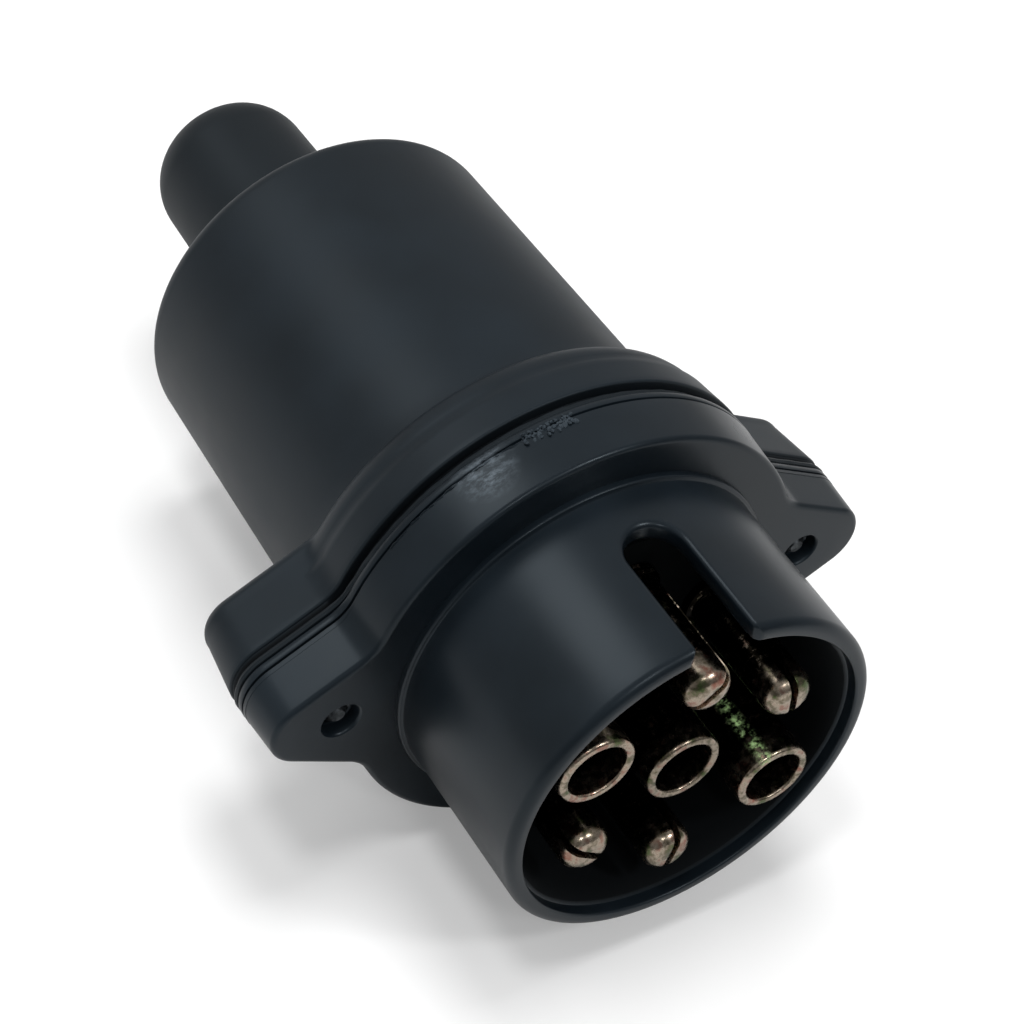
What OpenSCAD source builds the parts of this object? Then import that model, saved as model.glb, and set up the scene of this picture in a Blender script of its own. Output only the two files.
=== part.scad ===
// Seven-contact round trailer plug, in millimetres.
// The plug axis is Y, with its mouth in the plane y = 0 and its cable end towards +Y.
// X runs through the two screw ears, and the key slot is on top (+Z).

/* [Nose] */
// Outer diameter of the nose skirt that enters the socket
nose_d = 43.2; // [42:0.1:46]
// Wall of the nose skirt
nose_wall = 2.3; // [1.8:0.1:2.8]
// Length of the nose from its mouth to the flange
nose_len = 21.8; // [20.5:0.1:26]
// Rounding of the outer edge at the mouth
mouth_round = 1.1; // [0.4:0.1:1.4]
// Width of the key slot
slot_w = 6.6; // [5:0.1:8]
// Length of the key slot, its round end included
slot_len = 16.1; // [12:0.1:18]
// Depth of the shallow relief just inside the mouth
relief_depth = 1.5; // [1:0.1:3]
// Radial step of the relief just inside the mouth
relief_step = 0.4; // [0.2:0.1:0.6]

/* [Flanges and ears] */
// Diameter of both flanges where they meet
flange_d = 54; // [52.5:0.1:58]
// Thickness of the front flange
front_flange_t = 7; // [6:0.1:10]
// Amount that the front flange narrows, per side, towards the nose
flange_draft = 0.4; // [0.2:0.1:1.5]
// Thickness of the rubber gasket between the flanges
gasket_t = 0.8; // [0.5:0.1:2]
// Thickness of the ears on the rear cover
rear_ear_t = 9.5; // [6.2:0.1:10]
// Length of the rear cover's shoulder, from the gasket to its cylinder
shoulder_len = 9.6; // [9.2:0.1:13]
// Distance of each ear screw from the plug axis
ear_screw_x = 28.4; // [27.8:0.1:29.5]
// Distance of each ear's end arc from the plug axis
ear_arc_x = 31.6; // [31:0.1:33]
// Radius of each ear's end arc
ear_arc_r = 5; // [4.6:0.1:6]
// Angle between an ear's flank and the X axis
ear_flank = 28.5; // [25:0.5:32]
// Radius of the blend between an ear and the round flange
ear_blend = 5; // [3:0.1:7]

/* [Rear cover] */
// Diameter of the cover's cylinder at the shoulder
cover_d = 45.9; // [45:0.1:48]
// Amount that the cylinder narrows, per side, towards the cable
cover_draft = 0.8; // [0.2:0.05:0.9]
// Wall of the cylinder at its narrow end
cover_wall = 2.1; // [1.6:0.1:2.3]
// Length of the cylinder behind the shoulder
cover_len = 42.3; // [38:0.1:60]
// Rounding of the cylinder's end edge
cover_round = 2.5; // [1:0.1:3.5]

/* [Cable boot] */
// Diameter of the boot where it leaves the cover
boot_d = 20.2; // [18:0.1:24]
// Length of the boot outside the cover
boot_len = 28; // [24:0.5:40]
// Amount that the boot narrows, per side, towards its end
boot_draft = 0.45; // [0.1:0.05:0.8]
// Diameter of the cable hole
cable_d = 8.4; // [6:0.1:9]
// Diameter of the boot's neck in the cover's end wall
boot_neck_d = 16; // [15.5:0.1:17]

/* [Contacts] */
// Radius of the circle that the four pins stand on
pin_pitch_r = 12.8; // [12.4:0.1:13.2]
// Radius of the circle that the two outer sleeves stand on
sleeve_pitch_r = 13.8; // [13.2:0.1:14]
// Diameter of a pin
pin_d = 5.6; // [4.6:0.1:5.8]
// Diameter of a pin's root and of every terminal barrel
root_d = 6.6; // [6:0.1:7]
// Width of the saw cut that splits a pin
split_w = 0.85; // [0.4:0.05:1]
// Length of the saw cut from the pin's tip
split_len = 12.5; // [8:0.5:13]
// Outer diameter of a sleeve
sleeve_d = 8.7; // [8.2:0.1:9]
// Bore of a sleeve
sleeve_bore_d = 6.6; // [4.6:0.1:6.8]
// Distance of the outer sleeves' rims behind the mouth
sleeve_setback = 0.7; // [0.5:0.1:3]
// Distance of the centre sleeve's rim behind the mouth
centre_setback = 1.6; // [0.5:0.1:3]
// Distance of the pins' tips behind the mouth
pin_setback = 0.3; // [0.1:0.1:1]
// Length of the contacts in front of the carrier
contact_reach = 15.9; // [15:0.1:17]
// Wire hole in a terminal barrel
wire_d = 3.4; // [2.6:0.1:3.6]
// Length of an outer terminal barrel behind the terminal plate
barrel_len = 10.5; // [9.5:0.1:14]
// Extra length of the centre terminal barrel
centre_barrel_extra = 6.5; // [6:0.1:10]

/* [Carrier] */
// Thickness of the carrier's rim, which the shell's step holds
carrier_rim_t = 3.2; // [2.6:0.1:3.8]
// Radial height of the step that holds the carrier's rim
carrier_step = 1.3; // [1:0.1:1.6]
// Thickness of the terminal plate behind the carrier
plate_t = 2; // [1.5:0.1:3]
// Thickness of the collar round each contact
collar_t = 1.5; // [1:0.1:2]

/* [Cable clamp] */
// Distance between the two clamp screws
clamp_screw_gap = 16.4; // [16:0.1:18]
// Length of the clamp along the cable
clamp_len = 9; // [7:0.5:11]
// Distance that the clamp bar can close
clamp_travel = 1.8; // [0.8:0.1:2.2]

/* [Screws] */
// Thread diameter of the two ear screws
ear_screw_d = 3.5; // [3:0.1:3.6]
// Head diameter of the two ear screws
ear_head_d = 6.8; // [6:0.1:7]
// Thread diameter of the terminal and clamp screws
small_screw_d = 3; // [2.4:0.1:3]
// Head diameter of the terminal and clamp screws
small_head_d = 4.9; // [4.6:0.1:5]

/* [Hidden] */
$fn = 96;
seam_turn = 45;
flat_half_angle = 4;
eps = 0.05;
run_fit = 0.05;
seat_gap = 0.1;
free_gap = 0.3;
nose_r = nose_d / 2;
bore_r = nose_r - nose_wall;
flange_r = flange_d / 2;
seam_y = nose_len + front_flange_t;
cover_y = seam_y + gasket_t;
shoulder_y = cover_y + shoulder_len;
cover_end_y = shoulder_y + cover_len;
cover_r = cover_d / 2;
cover_end_r = cover_r - cover_draft;
chamber_r = cover_end_r - cover_wall;
end_wall = cover_round;
chamber_end_y = cover_end_y - end_wall;
spigot_reach = 0.8;
plate_end_y = seam_y - spigot_reach;
collar_end_y = plate_end_y - plate_t;
step_y = collar_end_y - carrier_rim_t;
step_r = bore_r + carrier_step;
carrier_face_y = contact_reach + seat_gap;
collar_w = 0.65;
key_w = 3;
key_t = 1;
root_r = root_d / 2;
spigot_wall = 1.15;
nose_ring_t = 0.55;
edge_chamfer = 0.6;
rebate_t = 0.7;
rebate_depth = 0.9;
gasket_set_in = 0.5;
shoulder_side = 5.9;
shoulder_sink = 0.45;
small_head_t = 1.6;
small_slot_w = 0.7;
small_slot_t = 0.8;
ear_head_t = 2.2;
ear_seat_back = 3.1;
head_seat_y = cover_y + rear_ear_t - ear_seat_back;
ear_tip_y = nose_len + 0.9;
clamp_w = clamp_screw_gap + 2 * 3.2;
cradle_r = cable_d / 2 + 0.5;
tongue_top = -5.6;
tongue_bottom = -8.5;
tongue_w = 12.6;
bar_t = 3.6;
bar_z = clamp_travel / 2 + 0.2;
outer_end = plate_end_y + barrel_len;
centre_end = outer_end + centre_barrel_extra;
pin_dome = 1.7;
pin_flat = 1.1;
pin_root_len = 1.1;
pin_root_cone = 0.2;
wire_len = 8;
screw_back = 4;
sleeve_bore_len = 14.5;
sleeve_round = 0.5;
sleeve_mouth = 0.15;
terminal_screw_y = outer_end - screw_back;
centre_screw_y = centre_end - screw_back;
clamp_gap = 3;
clamp_y = centre_end + clamp_gap;

// Contact positions as [angle from +Z towards +X, pitch radius]
PINS = [[0, pin_pitch_r], [60, pin_pitch_r], [180, pin_pitch_r], [240, pin_pitch_r]];
SLEEVES = [[0, 0], [120, sleeve_pitch_r], [300, sleeve_pitch_r]];
// Direction of each pin's saw cut, from +X towards +Z
SPLITS = [40, 95, 75, -35];

function arc(cx, cy, r, a0, a1, n) =
    [for (i = [0 : n]) let (a = a0 + (a1 - a0) * i / n) [cx + r * cos(a), cy + r * sin(a)]];

function ellipse_arc(cx, cy, rx, ry, a0, a1, n) =
    [for (i = [0 : n]) let (a = a0 + (a1 - a0) * i / n) [cx + rx * cos(a), cy + ry * sin(a)]];

// A quarter of the flange's outline: ear tip and flank set in by d, blend, then the round part of
// radius disc_r, which leaves a small flat at the top and bottom, so that the plug rests without
// rolling. Outlines of different d and disc_r match point for point.
function flange_quarter(d, disc_r) =
    let (
        n_angle = 90 - ear_flank,
        flank_off = ear_arc_x * sin(ear_flank) + ear_arc_r + ear_blend,
        reach = sqrt(pow(disc_r + ear_blend + d, 2) - pow(flank_off, 2)),
        fx = flank_off * sin(ear_flank) + reach * cos(ear_flank),
        fy = flank_off * cos(ear_flank) - reach * sin(ear_flank),
        f_angle = atan2(fy, fx)
    )
    concat(
        arc(ear_arc_x, 0, ear_arc_r - d, 0, n_angle, 8),
        arc(fx, fy, ear_blend + d, n_angle + 180, f_angle + 180, 6),
        arc(0, 0, disc_r, f_angle + 3, 90 - flat_half_angle, 16)
    );

function flange_outline(d, disc_r) =
    let (q = flange_quarter(d, disc_r), n = len(q))
    concat(
        q,
        [for (i = [n - 1 : -1 : 0]) [-q[i][0], q[i][1]]],
        [for (i = [1 : n - 1]) -q[i]],
        [for (i = [n - 1 : -1 : 1]) [q[i][0], -q[i][1]]]
    );

// The rear cover's round shoulder: an ellipse's quarter, from the flange to the cylinder
side_y = cover_y + shoulder_side;
shoulder_rx = flange_r - cover_r - 1.1;
shoulder_ry = shoulder_y - side_y - 0.2;
function under_shoulder(y) = cover_r - shoulder_sink
    + (y < shoulder_y - 0.2 ? 0.3 + shoulder_rx * sqrt(1 - pow((y - side_y) / shoulder_ry, 2)) : 0);

// Profiles of the flanges as [y, amount set in], with the round part's radius where it differs
front_profile = [
    [nose_len, flange_draft + edge_chamfer],
    [nose_len + 0.2, flange_draft + edge_chamfer * 0.4],
    [nose_len + 0.6, flange_draft],
    [seam_y - 0.5, 0],
    [seam_y, 0.5],
];
ear_top_y = cover_y + rear_ear_t;
rear_profile = [
    [cover_y, rebate_depth],
    [cover_y + rebate_t, rebate_depth],
    [cover_y + rebate_t + 0.1, 0],
    [side_y - 0.6, 0.6],
    for (step = [[1.6, 0.8], [0.5, 1.3], [0, 2.4]])
        let (y = max(ear_top_y - step[0], side_y - 0.3 * step[0])) [y, step[1], under_shoulder(y)],
];

// Turns a drawing of [radius, y] round the plug axis, its seam clear of the ears and the key slot
module turned() {
    rotate([-90, 0, 0]) rotate([0, 0, seam_turn]) rotate_extrude() children();
}

// A cylinder on the plug axis, or moved to [x, z]
module rod(y0, y1, r, at = [0, 0]) {
    translate([at[0], y0, at[1]]) rotate([-90, 0, 0]) rotate([0, 0, seam_turn])
        cylinder(h = y1 - y0, r = r);
}

function place(contact) = [contact[1] * sin(contact[0]), contact[1] * cos(contact[0])];

// The round flange and its two ears, as one solid through the outlines that the profile gives
module flange(profile) {
    n = len(flange_outline(0, flange_r));
    layers = len(profile);
    last = (layers - 1) * n;
    points = concat(
        [for (p = profile) for (q = flange_outline(p[1], len(p) > 2 ? p[2] : flange_r - p[1])) [q[0], p[0], q[1]]],
        [[0, profile[0][0], 0], [0, profile[layers - 1][0], 0]]
    );
    sides = [
        for (i = [0 : layers - 2]) for (j = [0 : n - 1]) for (half = [0, 1])
            let (a = i * n + j, b = i * n + (j + 1) % n, c = b + n, e = a + n)
            half == 0 ? [a, b, c] : [a, c, e]
    ];
    front = [for (j = [0 : n - 1]) [(j + 1) % n, j, last + n]];
    back = [for (j = [0 : n - 1]) [last + j, last + (j + 1) % n, last + n + 1]];
    polyhedron(points, concat(front, sides, back), convexity = 4);
}

module both_ears() {
    children();
    mirror([1, 0, 0]) children();
}

// ---- Shells ----

module front_shell() {
    color("#2a3033") difference() {
        union() {
            turned() {
                difference() {
                    translate([bore_r, 0]) square([nose_wall, nose_len + 1]);
                    translate([nose_r - mouth_round, -eps]) square([mouth_round + eps, mouth_round + eps]);
                }
                translate([nose_r - mouth_round, mouth_round]) circle(r = mouth_round);
                polygon([
                    [bore_r, nose_len - 0.6], [nose_r + nose_ring_t - 0.15, nose_len - 0.6],
                    [nose_r + nose_ring_t, nose_len - 0.4], [nose_r + nose_ring_t, nose_len + 1],
                    [bore_r, nose_len + 1],
                ]);
            }
            flange(front_profile);
        }
        rod(-1, relief_depth, bore_r + relief_step);
        rod(-1, seam_y + 1, bore_r);
        rod(step_y, seam_y + 1, step_r);
        key_slot();
        carrier_key(run_fit);
        both_ears() ear_thread();
    }
}

module key_slot() {
    translate([-slot_w / 2, -1, 0]) cube([slot_w, slot_len - slot_w / 2 + 1, nose_r + 1]);
    translate([0, slot_len - slot_w / 2, 0]) cylinder(h = nose_r + 1, r = slot_w / 2);
}

// The hole in a front ear: wide at the face, and threaded behind
module ear_thread() {
    rod(nose_len - 1, nose_len + 1.6, ear_screw_d / 2 + free_gap, [ear_screw_x, 0]);
    rod(nose_len, seam_y + 1, ear_screw_d / 2 + run_fit, [ear_screw_x, 0]);
}

module flange_gasket() {
    color("#3a3f42") difference() {
        flange([[seam_y, gasket_set_in], [cover_y, gasket_set_in]]);
        rod(seam_y - 1, cover_y + 1, step_r + seat_gap);
        both_ears() rod(seam_y - 1, cover_y + 1, ear_screw_d / 2 + free_gap, [ear_screw_x, 0]);
    }
}

module rear_cover() {
    color("#2a3033") difference() {
        union() {
            turned() polygon(concat(
                [[0, side_y - 3], [flange_r - 0.8, side_y - 3]],
                ellipse_arc(cover_r + 0.3, side_y, shoulder_rx, shoulder_ry, 0, 84, 8),
                [[cover_r, shoulder_y]],
                arc(cover_end_r - cover_round, cover_end_y - cover_round, cover_round, 0, 90, 8),
                [[0, cover_end_y]]
            ));
            flange(rear_profile);
            rod(plate_end_y + seat_gap, cover_y + eps, step_r - run_fit);
        }
        rod(cover_y, chamber_end_y, chamber_r);
        rod(plate_end_y - 1, cover_y + eps, step_r - run_fit - spigot_wall);
        rod(chamber_end_y - 1, cover_end_y + 1, boot_neck_d / 2 + run_fit);
        both_ears() ear_clearance();
        for (c = concat(PINS, [SLEEVES[1], SLEEVES[2]])) screw_head_way(c);
    }
}

// Room in the cover for a terminal screw's head to slide past, where the chamber is too narrow for it
module screw_head_way(contact) {
    reach = contact[1] + root_r + small_head_t + 2 * free_gap;
    half_w = small_head_d / 2 + free_gap;
    rotate([0, contact[0], 0]) translate([-half_w, plate_end_y, 0])
        cube([2 * half_w, terminal_screw_y + half_w - plate_end_y, reach]);
}

// The screw's way through a rear ear: a clear hole and an open well for its head
module ear_clearance() {
    rod(cover_y - 1, head_seat_y + 1, ear_screw_d / 2 + free_gap, [ear_screw_x, 0]);
    rod(head_seat_y, shoulder_y + 1, ear_head_d / 2 + free_gap, [ear_screw_x, 0]);
}

module cable_boot() {
    root = boot_d / 2;
    end_r = root - boot_draft;
    hole = cable_d / 2;
    lip = 0.25;
    dome = 6.2;
    grip = 12.5;
    end_y = cover_end_y + boot_len;
    cavity = boot_neck_d / 2 - 2;
    color("#26292b") turned() polygon(concat(
        [[cavity, chamber_end_y - 2], [root + 0.3, chamber_end_y - 2], [root + 0.3, chamber_end_y]],
        [[boot_neck_d / 2, chamber_end_y], [boot_neck_d / 2, cover_end_y], [root, cover_end_y]],
        ellipse_arc(hole + lip, end_y - dome, end_r - hole - lip, dome, 0, 90, 12),
        [[hole, end_y], [hole, end_y - grip], [cavity, end_y - grip - 3]]
    ));
}

// ---- Contact block ----

// The rib that turns the carrier the right way in the shell
module carrier_key(gap) {
    translate([-key_w / 2 - gap, step_y - eps, 0])
        cube([key_w + 2 * gap, carrier_rim_t + eps, step_r + key_t + gap]);
}

module contact_carrier() {
    color("#17191b") difference() {
        union() {
            rod(carrier_face_y, step_y + 1, bore_r - run_fit);
            rod(step_y + seat_gap, collar_end_y, step_r - run_fit);
            intersection() {
                carrier_key(0);
                rod(step_y + seat_gap, collar_end_y, step_r + key_t);
            }
        }
        for (c = PINS) {
            rod(0, seam_y, root_r + run_fit, place(c));
            rod(collar_end_y - collar_t - run_fit, seam_y, root_r + collar_w + run_fit, place(c));
        }
        for (c = SLEEVES) {
            rod(0, seam_y, sleeve_d / 2 + run_fit, place(c));
            rod(collar_end_y - collar_t - run_fit, seam_y, sleeve_d / 2 + collar_w + run_fit, place(c));
        }
    }
}

// Closes the collars in, and carries the tongue and cradle that grip the cable
module terminal_plate() {
    color("#17191b") difference() {
        union() {
            rod(collar_end_y, plate_end_y, step_r - run_fit);
            translate([-tongue_w / 2, plate_end_y - eps, tongue_bottom])
                cube([tongue_w, clamp_y - plate_end_y + clamp_len, tongue_top - tongue_bottom]);
            translate([-clamp_w / 2, clamp_y, tongue_bottom])
                cube([clamp_w, clamp_len, -clamp_travel / 2 - tongue_bottom]);
        }
        for (c = concat(PINS, SLEEVES)) {
            rod(collar_end_y - 1, plate_end_y + 1, root_r + run_fit, place(c));
        }
        rod(clamp_y - 1, clamp_y + clamp_len + 1, cradle_r);
        for (s = [-1, 1]) {
            translate([s * clamp_screw_gap / 2, clamp_y + clamp_len / 2, tongue_bottom - 1])
                cylinder(h = 2 - tongue_bottom, r = small_screw_d / 2 + run_fit);
        }
    }
}

// The part of every contact from its collar back: collar, barrel, wire hole and screw hole
module contact_back(angle, r, collar_r, barrel_end, screw_y) {
    difference() {
        union() {
            rod(collar_end_y - collar_t, collar_end_y, collar_r, r);
            rod(collar_end_y - eps, barrel_end, root_r, r);
        }
        rod(barrel_end - wire_len, barrel_end + 1, wire_d / 2, r);
        translate([r[0], screw_y, r[1]]) rotate([0, angle, 0])
            cylinder(h = root_r + 1, r = small_screw_d / 2 + run_fit);
    }
}

module pin(i) {
    at = place(PINS[i]);
    tip_r = pin_d / 2 - pin_flat;
    color("#b9a591") union() {
        difference() {
            translate([at[0], 0, at[1]]) turned() polygon(concat(
                [[0, collar_end_y], [0, pin_setback]],
                [for (a = [0 : 10 : 90]) [pin_flat + tip_r * sin(a), pin_setback + pin_dome * (1 - cos(a))]],
                [[pin_d / 2, carrier_face_y - pin_root_len]],
                [[root_r, carrier_face_y - pin_root_len + pin_root_cone], [root_r, collar_end_y]]
            ));
            translate([at[0], 0, at[1]]) rotate([0, -SPLITS[i], 0])
                translate([-pin_d, -1, -split_w / 2]) cube([2 * pin_d, split_len + 1, split_w]);
        }
        contact_back(PINS[i][0], at, root_r + collar_w, outer_end, terminal_screw_y);
    }
}

module sleeve(i, rim_y, barrel_end, screw_y) {
    at = place(SLEEVES[i]);
    r = sleeve_d / 2;
    bore = sleeve_bore_d / 2;
    color("#b9a591") difference() {
        union() {
            translate([at[0], 0, at[1]]) turned() {
                translate([0, rim_y + sleeve_round]) square([r, collar_end_y - rim_y - sleeve_round]);
                translate([0, rim_y]) square([r - sleeve_round, 1]);
                translate([r - sleeve_round, rim_y + sleeve_round]) circle(r = sleeve_round);
            }
            contact_back(SLEEVES[i][0], at, r + collar_w, barrel_end, screw_y);
        }
        rod(rim_y - 1, rim_y + sleeve_bore_len, bore, at);
        translate([at[0], rim_y - eps, at[1]]) rotate([-90, 0, 0])
            cylinder(h = sleeve_mouth, r1 = bore + sleeve_mouth, r2 = bore);
    }
}

// ---- Screws ----

// A slotted cheese-head screw on +Z, its head seated at z = 0
module small_screw(length) {
    color("#8f9294") difference() {
        union() {
            cylinder(h = small_head_t, r = small_head_d / 2);
            translate([0, 0, -length]) cylinder(h = length + eps, r = small_screw_d / 2);
        }
        translate([-small_head_d, -small_slot_w / 2, small_head_t - small_slot_t])
            cube([2 * small_head_d, small_slot_w, small_slot_t + 1]);
    }
}

module terminal_screw(contact, y) {
    at = place(contact);
    translate([at[0], y, at[1]]) rotate([0, contact[0], 0])
        translate([0, 0, root_r + free_gap]) small_screw(root_r + free_gap - wire_d / 2 + 0.6);
}

module ear_screw() {
    r = ear_screw_d / 2;
    head_end_y = head_seat_y + ear_head_t;
    recess_len = 3.8;
    recess_w = 0.9;
    recess_t = 1.2;
    color("#8f9294") difference() {
        translate([ear_screw_x, 0, 0]) turned() polygon([
            [0, ear_tip_y], [r - 0.6, ear_tip_y], [r, ear_tip_y + 0.8],
            [r, head_seat_y + seat_gap], [ear_head_d / 2, head_seat_y + seat_gap],
            [ear_head_d / 2, head_end_y - 0.6], [ear_head_d / 2 - 0.8, head_end_y], [0, head_end_y],
        ]);
        for (a = [0, 90]) {
            translate([ear_screw_x, head_end_y - recess_t, 0]) rotate([0, a, 0])
                translate([-recess_len / 2, 0, -recess_w / 2]) cube([recess_len, recess_t + 1, recess_w]);
        }
    }
}

// ---- Cable clamp ----

module clamp_bar() {
    color("#17191b") difference() {
        translate([-clamp_w / 2, clamp_y, bar_z]) cube([clamp_w, clamp_len, bar_t]);
        rod(clamp_y - 1, clamp_y + clamp_len + 1, cradle_r - 1.2);
        for (s = [-1, 1]) {
            translate([s * clamp_screw_gap / 2, clamp_y + clamp_len / 2, 0])
                cylinder(h = bar_z + bar_t + 1, r = small_screw_d / 2 + 0.2);
        }
    }
}

module clamp_screw(side) {
    translate([side * clamp_screw_gap / 2, clamp_y + clamp_len / 2, bar_z + bar_t + seat_gap])
        small_screw(bar_z + bar_t - tongue_bottom - clamp_travel - 0.5);
}

front_shell();
contact_carrier();
terminal_plate();
pin(0);  // pin_top
pin(1);  // pin_upper_right
pin(2);  // pin_bottom
pin(3);  // pin_lower_left
sleeve(0, centre_setback, centre_end, centre_screw_y);  // sleeve_centre
sleeve(1, sleeve_setback, outer_end, terminal_screw_y);  // sleeve_lower_right
sleeve(2, sleeve_setback, outer_end, terminal_screw_y);  // sleeve_upper_left
terminal_screw(PINS[0], terminal_screw_y);  // terminal_screw_1
terminal_screw(PINS[1], terminal_screw_y);  // terminal_screw_2
terminal_screw(SLEEVES[1], terminal_screw_y);  // terminal_screw_3
terminal_screw(PINS[2], terminal_screw_y);  // terminal_screw_4
terminal_screw(PINS[3], terminal_screw_y);  // terminal_screw_5
terminal_screw(SLEEVES[2], terminal_screw_y);  // terminal_screw_6
terminal_screw(SLEEVES[0], centre_screw_y);  // terminal_screw_7
flange_gasket();
rear_cover();
mirror([1, 0, 0]) ear_screw();  // ear_screw_left
ear_screw();  // ear_screw_right
clamp_bar();
clamp_screw(-1);  // clamp_screw_left
clamp_screw(1);  // clamp_screw_right
cable_boot();
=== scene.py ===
# %% [markdown]
# # A seven-contact trailer plug
# The plug joins a trailer's wiring to the towing vehicle. Its black front shell carries the nose
# with four split pins and three sleeves, and a rear cover with a rubber boot leads the cable out.
# The exact model comes in as a fixed frame, and every piece that shows is built here around it.
# X runs across the ears, Y from the mouth back to the boot, and Z up. Sizes are in millimetres,
# and turn into metres only where a mesh, a scale or a lamp is made.

# %% Load the frame
import math

import bmesh
import bpy
from mathutils import Matrix, Vector, noise


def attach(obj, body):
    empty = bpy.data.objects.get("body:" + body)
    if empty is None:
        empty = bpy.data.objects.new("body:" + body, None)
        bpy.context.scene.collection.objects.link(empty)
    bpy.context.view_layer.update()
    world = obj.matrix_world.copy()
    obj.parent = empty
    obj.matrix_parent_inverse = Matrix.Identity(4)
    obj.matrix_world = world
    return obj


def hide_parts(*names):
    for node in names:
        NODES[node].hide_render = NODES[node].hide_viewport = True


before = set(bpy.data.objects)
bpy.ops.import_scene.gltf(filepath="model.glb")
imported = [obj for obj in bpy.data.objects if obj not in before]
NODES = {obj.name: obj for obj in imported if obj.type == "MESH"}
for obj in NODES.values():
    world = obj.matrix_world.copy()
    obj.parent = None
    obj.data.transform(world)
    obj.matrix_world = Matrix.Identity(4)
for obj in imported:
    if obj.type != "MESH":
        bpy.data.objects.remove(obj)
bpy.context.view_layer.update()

MM = 0.001
print("pieces in the frame:", len(NODES))

# %% [markdown]
# Every piece below ends the same way: a mesh in metres at the origin, one material, a body that it
# rides on, and the frame's node that it stands for. One helper does all of that. Shading is smooth
# across gentle bends and sharp across real edges.

# %% Helpers that finish a piece
WELD, SLIVER = 0.002 * MM, 0.001 * MM
SHARP_ANGLE = math.radians(32)


def tidy(bm):
    bmesh.ops.remove_doubles(bm, verts=bm.verts, dist=WELD)
    bmesh.ops.dissolve_degenerate(bm, edges=bm.edges, dist=SLIVER)
    bmesh.ops.recalc_face_normals(bm, faces=bm.faces)


def new_object(name, bm):
    mesh = bpy.data.meshes.new(name)
    bm.to_mesh(mesh)
    bm.free()
    piece = bpy.data.objects.new(name, mesh)
    bpy.context.scene.collection.objects.link(piece)
    return piece


def bake(piece):
    """Keeps what the piece's modifiers make as its plain mesh, and takes them off."""
    depsgraph = bpy.context.evaluated_depsgraph_get()
    done = bpy.data.meshes.new_from_object(piece.evaluated_get(depsgraph))
    piece.modifiers.clear()
    piece.data = done


def finish_piece(piece, material, body, nodes):
    mesh = piece.data
    mesh.materials.clear()
    mesh.materials.append(material)
    mesh.polygons.foreach_set("material_index", [0] * len(mesh.polygons))
    mesh.shade_smooth()
    mesh.set_sharp_from_angle(angle=SHARP_ANGLE)
    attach(piece, body)
    if nodes:
        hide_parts(*nodes)
    print(f"{piece.name}: {len(mesh.polygons)} faces on {body}")


# %% [markdown]
# Most of the plug is turned: a profile carried round an axis. Blender's Screw modifier turns a
# profile too, but `skin` does more: it joins any list of closed loops into a surface, so a turned
# shape is a list of circles, and a shape with ears is a list of outlines. With `ring=True` the
# last loop joins the first, which gives a closed tube wall. A radius of 0 is drawn a hair wide,
# and the weld in `tidy` closes it to one point.

# %% Skins through loops
HAIR = 0.0005


def skin(loops, ring=False):
    bm = bmesh.new()
    rows = [[bm.verts.new(Vector(p) * MM) for p in loop] for loop in loops]
    pairs = list(zip(rows, rows[1:])) + ([(rows[-1], rows[0])] if ring else [])
    for a, b in pairs:
        for i in range(len(a)):
            j = (i + 1) % len(a)
            bm.faces.new((a[i], a[j], b[j], b[i]))
    if not ring:
        bm.faces.new(rows[0])
        bm.faces.new(rows[-1])
    tidy(bm)
    return bm


def circle(r, y, n, at):
    turns = [math.tau * i / n for i in range(n)]
    return [(at[0] + r * math.cos(t), y, at[1] + r * math.sin(t)) for t in turns]


def turned(profile, n=160, at=(0.0, 0.0), ring=False):
    """Turns a profile of (radius, y) points about an axis along Y, which stands at (x, z)."""
    return skin([circle(max(r, HAIR), y, n, at) for r, y in profile], ring)


def arc(cx, cy, rx, ry, start, end, n):
    """Points of an ellipse's arc, as (radius, y) when it is part of a profile."""
    angles = [math.radians(start + (end - start) * i / n) for i in range(n + 1)]
    return [(cx + rx * math.cos(a), cy + ry * math.sin(a)) for a in angles]


def between(near, far, steps):
    """Loops that lie part of the way from one loop to another."""
    return [[tuple(Vector(a).lerp(Vector(b), t)) for a, b in zip(near, far)] for t in steps]


print("a round corner of 1 mm in 3 steps:", arc(0, 0, 1, 1, 0, 90, 3))


# %% [markdown]
# Holes, slots and saw cuts are taken out with the Boolean modifier, as a mill or a mould's core
# would leave them. The tool is a closed shape of its own, and goes once it has cut.

# %% Cutting
def cut(piece, tools):
    """Takes each tool's shape away from the piece, and deletes the tool."""
    for tool in tools:
        m = piece.modifiers.new("cut", "BOOLEAN")
        m.operation = "DIFFERENCE"
        m.solver = "EXACT"
        m.object = tool
    bake(piece)
    for tool in tools:
        bpy.data.objects.remove(tool)


# %% [markdown]
# ## Finishes
# A finish is named for what the real one is. `colour` turns a hex value, as a colour picker shows
# it, into the linear numbers that Blender uses. `add` makes one node, sets it up and links it.
# Patterns read Object coordinates, so they stay where they are on a piece when it moves.

# %% Node and colour helpers
def colour(code):
    parts = [int(code[i:i + 2], 16) / 255 for i in (1, 3, 5)]
    return [p / 12.92 if p <= 0.04045 else ((p + 0.055) / 1.055) ** 2.4 for p in parts] + [1.0]


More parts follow.
